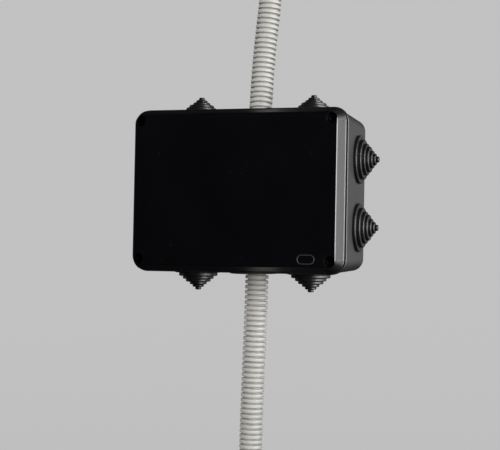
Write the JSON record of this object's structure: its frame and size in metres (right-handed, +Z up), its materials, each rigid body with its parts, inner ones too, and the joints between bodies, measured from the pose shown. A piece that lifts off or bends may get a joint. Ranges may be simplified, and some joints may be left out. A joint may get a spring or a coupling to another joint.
{
  "type": "electrical junction box",
  "caption": "Wall-mounted plastic junction box with a screwed lid, stepped rubber cable grommets, a terminal strip inside, and corrugated conduit entering above and below.",
  "frame": {"origin": "centre of the back face, where it rests on the wall", "axes": "+Z up, +Y into the wall, +X to the right for someone facing the lid; the lid faces -Y"},
  "size_m": [0.1748, 0.07, 0.4225],
  "materials": {
    "shell_plastic": "satin moulded",
    "lid_plastic": "smooth satin-gloss moulded",
    "grommet_rubber": "soft satin",
    "gasket_rubber": "foamed matte",
    "blackened_steel": "black oxide",
    "plated_steel": "zinc plated",
    "conduit_plastic": "satin extruded",
    "fitting_plastic": "satin moulded",
    "terminal_polyamide": "translucent satin",
    "terminal_brass": "machined"
  },
  "bodies": {
    "base": {"base_floor": "shell_plastic", "base_wall_top": "shell_plastic", "base_wall_bottom": "shell_plastic", "base_wall_left": "shell_plastic", "base_wall_right": "shell_plastic", "grommet_top_left": "grommet_rubber", "grommet_top_right": "grommet_rubber", "grommet_bottom_left": "grommet_rubber", "grommet_bottom_right": "grommet_rubber", "grommet_right_upper": "grommet_rubber", "grommet_right_lower": "grommet_rubber", "grommet_left_upper": "grommet_rubber", "grommet_left_lower": "grommet_rubber", "conduit_grommet_top": "grommet_rubber", "conduit_grommet_bottom": "grommet_rubber", "conduit_upper": "conduit_plastic", "conduit_lower": "conduit_plastic", "conduit_clip_upper": "fitting_plastic", "conduit_clip_lower": "fitting_plastic", "conduit_coupler_upper": "fitting_plastic", "conduit_coupler_lower": "fitting_plastic", "terminal_strip": "terminal_polyamide", "strip_screws": "plated_steel", "terminal_tube_1": "terminal_brass", "terminal_tube_2": "terminal_brass", "terminal_tube_3": "terminal_brass"},
    "lid": {"lid": "lid_plastic", "lid_gasket": "gasket_rubber"},
    "seal_top_left": {"screw_seal_top_left": "gasket_rubber"},
    "screw_top_left": {"lid_screw_top_left": "blackened_steel"},
    "seal_top_right": {"screw_seal_top_right": "gasket_rubber"},
    "screw_top_right": {"lid_screw_top_right": "blackened_steel"},
    "seal_bottom_left": {"screw_seal_bottom_left": "gasket_rubber"},
    "screw_bottom_left": {"lid_screw_bottom_left": "blackened_steel"},
    "seal_bottom_right": {"screw_seal_bottom_right": "gasket_rubber"},
    "screw_bottom_right": {"lid_screw_bottom_right": "blackened_steel"},
    "clamp_1_upper": {"terminal_screw_1_upper": "plated_steel"},
    "clamp_1_lower": {"terminal_screw_1_lower": "plated_steel"},
    "clamp_2_upper": {"terminal_screw_2_upper": "plated_steel"},
    "clamp_2_lower": {"terminal_screw_2_lower": "plated_steel"},
    "clamp_3_upper": {"terminal_screw_3_upper": "plated_steel"},
    "clamp_3_lower": {"terminal_screw_3_lower": "plated_steel"}
  },
  "joints": [
    {"name": "lid_lift_off", "type": "slide", "parent": "base", "child": "lid", "axis": [0, -1, 0], "range_m": [0, 0.06]},
    {"name": "screw_travel_top_left", "type": "slide", "parent": "lid", "child": "seal_top_left", "axis": [0, -1, 0], "range_m": [0, 0.0073]},
    {"name": "screw_turn_top_left", "type": "hinge", "parent": "seal_top_left", "child": "screw_top_left", "pos_m": [-0.0668, -0.0628, 0.0465], "axis": [0, -1, 0], "range_deg": [0, 1440]},
    {"name": "screw_travel_top_right", "type": "slide", "parent": "lid", "child": "seal_top_right", "axis": [0, -1, 0], "range_m": [0, 0.0073]},
    {"name": "screw_turn_top_right", "type": "hinge", "parent": "seal_top_right", "child": "screw_top_right", "pos_m": [0.0668, -0.0628, 0.0465], "axis": [0, -1, 0], "range_deg": [0, 1440]},
    {"name": "screw_travel_bottom_left", "type": "slide", "parent": "lid", "child": "seal_bottom_left", "axis": [0, -1, 0], "range_m": [0, 0.0073]},
    {"name": "screw_turn_bottom_left", "type": "hinge", "parent": "seal_bottom_left", "child": "screw_bottom_left", "pos_m": [-0.0668, -0.0628, -0.0465], "axis": [0, -1, 0], "range_deg": [0, 1440]},
    {"name": "screw_travel_bottom_right", "type": "slide", "parent": "lid", "child": "seal_bottom_right", "axis": [0, -1, 0], "range_m": [0, 0.0073]},
    {"name": "screw_turn_bottom_right", "type": "hinge", "parent": "seal_bottom_right", "child": "screw_bottom_right", "pos_m": [0.0668, -0.0628, -0.0465], "axis": [0, -1, 0], "range_deg": [0, 1440]},
    {"name": "clamp_turn_1_upper", "type": "hinge", "parent": "base", "child": "clamp_1_upper", "pos_m": [-0.014, -0.016, 0.005], "axis": [0, -1, 0], "range_deg": [0, 1080]},
    {"name": "clamp_turn_1_lower", "type": "hinge", "parent": "base", "child": "clamp_1_lower", "pos_m": [-0.014, -0.016, -0.005], "axis": [0, -1, 0], "range_deg": [0, 1080]},
    {"name": "clamp_turn_2_upper", "type": "hinge", "parent": "base", "child": "clamp_2_upper", "pos_m": [0, -0.016, 0.005], "axis": [0, -1, 0], "range_deg": [0, 1080]},
    {"name": "clamp_turn_2_lower", "type": "hinge", "parent": "base", "child": "clamp_2_lower", "pos_m": [0, -0.016, -0.005], "axis": [0, -1, 0], "range_deg": [0, 1080]},
    {"name": "clamp_turn_3_upper", "type": "hinge", "parent": "base", "child": "clamp_3_upper", "pos_m": [0.014, -0.016, 0.005], "axis": [0, -1, 0], "range_deg": [0, 1080]},
    {"name": "clamp_turn_3_lower", "type": "hinge", "parent": "base", "child": "clamp_3_lower", "pos_m": [0.014, -0.016, -0.005], "axis": [0, -1, 0], "range_deg": [0, 1080]}
  ],
  "couplings": [
    {"joint": "screw_travel_top_left", "follows": "screw_turn_top_left", "m_per_rad": 0.00028648},
    {"joint": "screw_travel_top_right", "follows": "screw_turn_top_right", "m_per_rad": 0.00028648},
    {"joint": "screw_travel_bottom_left", "follows": "screw_turn_bottom_left", "m_per_rad": 0.00028648},
    {"joint": "screw_travel_bottom_right", "follows": "screw_turn_bottom_right", "m_per_rad": 0.00028648}
  ]
}
